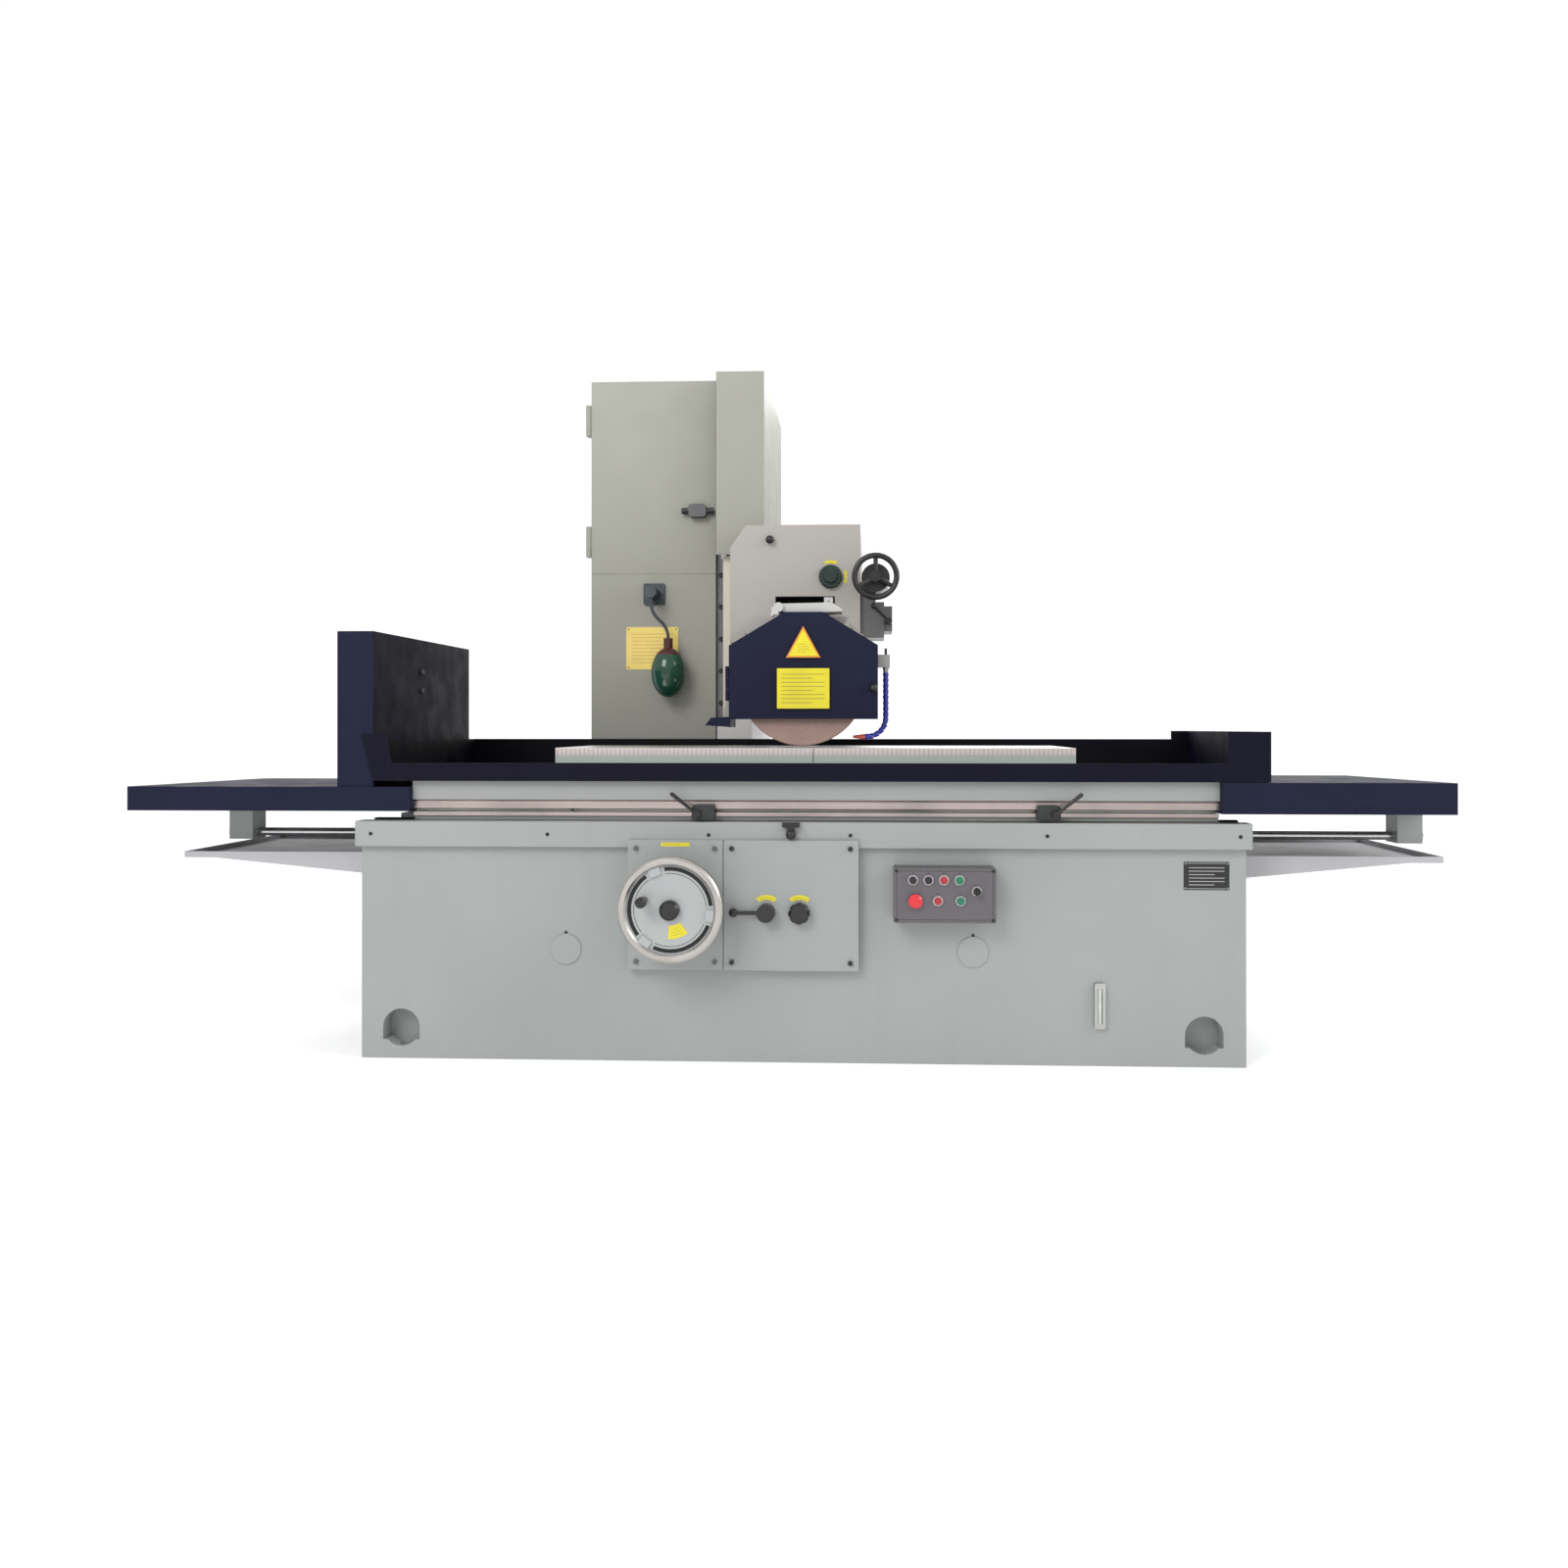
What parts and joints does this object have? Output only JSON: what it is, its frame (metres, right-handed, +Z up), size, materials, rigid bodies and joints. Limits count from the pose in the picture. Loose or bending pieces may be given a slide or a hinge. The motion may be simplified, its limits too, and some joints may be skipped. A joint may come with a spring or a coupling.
{
  "type": "surface grinder",
  "caption": "Hydraulic surface grinder: long reciprocating table with magnetic chucks and splash trough, rear column, vertical slide, guarded grinding wheel and front controls.",
  "frame": {"origin": "on the floor, at the centre of the four foundation bolt holes of the front bed", "axes": "+X to the right along the table, +Y from the operator towards the column, +Z up"},
  "size_m": [3.92, 2.0145, 2.295],
  "materials": {
    "machine_grey": "semi-gloss grey machine paint",
    "column_grey": "semi-gloss green-grey machine paint",
    "slide_grey": "light warm grey machine paint",
    "cast_steel": "machined and oiled",
    "ground_steel": "ground bright",
    "chuck_steel": "machined",
    "dark_blue": "satin dark blue paint",
    "black_plastic": "moulded black",
    "dial_green": "gloss dark green paint",
    "red_plastic": "moulded red",
    "green_plastic": "moulded green",
    "aluminium_trim": "satin",
    "pale_enamel": "pale enamel",
    "hose_blue": "moulded blue",
    "abrasive": "bonded aluminium oxide, pinkish brown"
  },
  "bodies": {
    "bed": {"bed_casting": "machine_grey", "rear_bed": "machine_grey", "hydraulic_cylinder": "cast_steel", "oil_trays": "machine_grey", "feed_plate": "machine_grey", "hydraulic_panel": "machine_grey", "front_screws": "cast_steel", "button_box": "aluminium_trim", "oil_gauge": "aluminium_trim", "core_hole_covers": "machine_grey", "column_casting": "column_grey", "guide_rails": "cast_steel", "lamp_arm": "pale_enamel"},
    "door": {"cabinet_door": "column_grey"},
    "latch": {"door_latch": "aluminium_trim"},
    "shade": {"lamp_shade": "dial_green"},
    "table": {"table_casting": "machine_grey", "way_covers": "dark_blue", "splash_trough": "dark_blue", "end_splash_guard": "dark_blue", "chuck_bases": "chuck_steel", "chuck_faces": "ground_steel", "rod_brackets": "machine_grey", "piston_rod": "ground_steel"},
    "left_dog_body": {"left_dog": "aluminium_trim"},
    "left_dog_handle": {"left_dog_lever": "black_plastic"},
    "right_dog_body": {"right_dog": "aluminium_trim"},
    "right_dog_handle": {"right_dog_lever": "black_plastic"},
    "reverser": {"reversing_lever": "black_plastic"},
    "table_handwheel": {"feed_handwheel": "ground_steel"},
    "crank_grip": {"handwheel_crank": "black_plastic"},
    "speed_lever": {"control_lever": "black_plastic"},
    "throttle_knob": {"control_knob": "black_plastic"},
    "left_start": {"left_start_button": "black_plastic"},
    "right_start": {"right_start_button": "black_plastic"},
    "upper_stop": {"upper_stop_button": "red_plastic"},
    "upper_run": {"upper_run_button": "green_plastic"},
    "lower_stop": {"lower_stop_button": "red_plastic"},
    "lower_run": {"lower_run_button": "green_plastic"},
    "emergency": {"emergency_stop": "red_plastic"},
    "selector": {"selector_switch": "black_plastic"},
    "slide": {"slide_casting": "slide_grey", "gib_keepers": "cast_steel", "upper_way_cover": "column_grey", "lower_way_cover": "machine_grey", "crossfeed_gearbox": "machine_grey"},
    "screw": {"elevating_screw": "ground_steel"},
    "cross_wheel": {"cross_handwheel": "black_plastic"},
    "feed_direction_lever": {"crossfeed_lever": "black_plastic"},
    "dial": {"crossfeed_dial": "dial_green"},
    "pull": {"pull_knob": "black_plastic"},
    "wheelhead": {"wheelhead_housing": "machine_grey", "guard_shell": "dark_blue", "dresser": "pale_enamel", "coolant_hose": "hose_blue", "spindle_motor": "chuck_steel"},
    "guard_front": {"guard_door": "dark_blue"},
    "valve": {"coolant_valve": "black_plastic"},
    "wheel_spindle": {"spindle": "ground_steel", "grinding_wheel": "abrasive"}
  },
  "joints": [
    {"name": "table_traverse", "type": "slide", "parent": "bed", "child": "table", "axis": [1, 0, 0], "range_m": [-0.888, 0.812]},
    {"name": "elevation", "type": "slide", "parent": "bed", "child": "slide", "axis": [0, 0, 1], "range_m": [-0.004, 0.4]},
    {"name": "cross_feed", "type": "slide", "parent": "slide", "child": "wheelhead", "axis": [0, 1, 0], "range_m": [0, 0.4]},
    {"name": "wheel_spin", "type": "hinge", "parent": "wheelhead", "child": "wheel_spindle", "pos_m": [0, -0.16, 1.122], "axis": [0, 1, 0], "continuous": true},
    {"name": "screw_turn", "type": "hinge", "parent": "bed", "child": "screw", "pos_m": [-0.286, 0.935, 1.4], "axis": [0, 0, 1], "continuous": true},
    {"name": "cross_handwheel_turn", "type": "hinge", "parent": "slide", "child": "cross_wheel", "pos_m": [0.231, 0.24, 1.505], "axis": [0, 1, 0], "continuous": true},
    {"name": "handwheel_turn", "type": "hinge", "parent": "bed", "child": "table_handwheel", "pos_m": [-0.348, -0.5, 0.467], "axis": [0, 1, 0], "continuous": true},
    {"name": "crank_spin", "type": "hinge", "parent": "table_handwheel", "child": "crank_grip", "pos_m": [-0.4213, -0.6, 0.49368], "axis": [0, 1, 0], "continuous": true},
    {"name": "speed_lever_swing", "type": "hinge", "parent": "bed", "child": "speed_lever", "pos_m": [-0.087, -0.46, 0.444], "axis": [0, 1, 0], "range_deg": [-50, 50]},
    {"name": "throttle_turn", "type": "hinge", "parent": "bed", "child": "throttle_knob", "pos_m": [0.009, -0.46, 0.444], "axis": [0, 1, 0], "range_deg": [-150, 150]},
    {"name": "reverser_swing", "type": "hinge", "parent": "bed", "child": "reverser", "pos_m": [-0.016, -0.46, 0.69], "axis": [0, 1, 0], "range_deg": [-15, 15]},
    {"name": "left_dog_slide", "type": "slide", "parent": "table", "child": "left_dog_body", "axis": [1, 0, 0], "range_m": [-0.75, 0.25]},
    {"name": "left_dog_clamp", "type": "hinge", "parent": "left_dog_body", "child": "left_dog_handle", "pos_m": [-0.2935, -0.43, 0.7267], "axis": [0, 1, 0], "range_deg": [-30, 50]},
    {"name": "right_dog_slide", "type": "slide", "parent": "table", "child": "right_dog_body", "axis": [1, 0, 0], "range_m": [-0.55, 0.4]},
    {"name": "right_dog_clamp", "type": "hinge", "parent": "right_dog_body", "child": "right_dog_handle", "pos_m": [0.7485, -0.43, 0.7267], "axis": [0, 1, 0], "range_deg": [-50, 30]},
    {"name": "left_start_press", "type": "slide", "parent": "bed", "child": "left_start", "axis": [0, 1, 0], "range_m": [0, 0.004], "stiffness_N_per_m": 600, "springref_m": -0.002},
    {"name": "right_start_press", "type": "slide", "parent": "bed", "child": "right_start", "axis": [0, 1, 0], "range_m": [0, 0.004], "stiffness_N_per_m": 600, "springref_m": -0.002},
    {"name": "upper_stop_press", "type": "slide", "parent": "bed", "child": "upper_stop", "axis": [0, 1, 0], "range_m": [0, 0.004], "stiffness_N_per_m": 600, "springref_m": -0.002},
    {"name": "upper_run_press", "type": "slide", "parent": "bed", "child": "upper_run", "axis": [0, 1, 0], "range_m": [0, 0.004], "stiffness_N_per_m": 600, "springref_m": -0.002},
    {"name": "lower_stop_press", "type": "slide", "parent": "bed", "child": "lower_stop", "axis": [0, 1, 0], "range_m": [0, 0.004], "stiffness_N_per_m": 600, "springref_m": -0.002},
    {"name": "lower_run_press", "type": "slide", "parent": "bed", "child": "lower_run", "axis": [0, 1, 0], "range_m": [0, 0.004], "stiffness_N_per_m": 600, "springref_m": -0.002},
    {"name": "emergency_press", "type": "slide", "parent": "bed", "child": "emergency", "axis": [0, 1, 0], "range_m": [0, 0.006]},
    {"name": "selector_turn", "type": "hinge", "parent": "bed", "child": "selector", "pos_m": [0.516, -0.51, 0.514], "axis": [0, 1, 0], "range_deg": [-45, 45]},
    {"name": "door_swing", "type": "hinge", "parent": "bed", "child": "door", "pos_m": [-0.8555, 0.56, 1.9], "axis": [0, 0, -1], "range_deg": [0, 110]},
    {"name": "latch_turn", "type": "hinge", "parent": "door", "child": "latch", "pos_m": [-0.437, 0.54, 1.794], "axis": [0, 1, 0], "range_deg": [0, 90]},
    {"name": "shade_swivel", "type": "hinge", "parent": "bed", "child": "shade", "pos_m": [-0.5402, 0.492, 1.3], "axis": [0, 0, 1], "range_deg": [-170, 170]},
    {"name": "feed_direction_swing", "type": "hinge", "parent": "slide", "child": "feed_direction_lever", "pos_m": [0.279, 0.37, 1.361], "axis": [0, 1, 0], "range_deg": [-20, 20]},
    {"name": "dial_turn", "type": "hinge", "parent": "slide", "child": "dial", "pos_m": [0.07, 0.34, 1.52], "axis": [0, 1, 0], "range_deg": [-150, 150]},
    {"name": "pull_knob_pull", "type": "slide", "parent": "slide", "child": "pull", "axis": [0, -1, 0], "range_m": [0, 0.012]},
    {"name": "guard_door_swing", "type": "hinge", "parent": "wheelhead", "child": "guard_front", "pos_m": [-0.234, -0.207, 1.12], "axis": [0, 0, -1], "range_deg": [0, 100]},
    {"name": "coolant_valve_turn", "type": "hinge", "parent": "wheelhead", "child": "valve", "pos_m": [0.262, -0.13, 1.22], "axis": [0, 0, 1], "range_deg": [0, 90]}
  ],
  "couplings": [
    {"joint": "screw_turn", "follows": "elevation", "rad_per_m": 523.6}
  ]
}
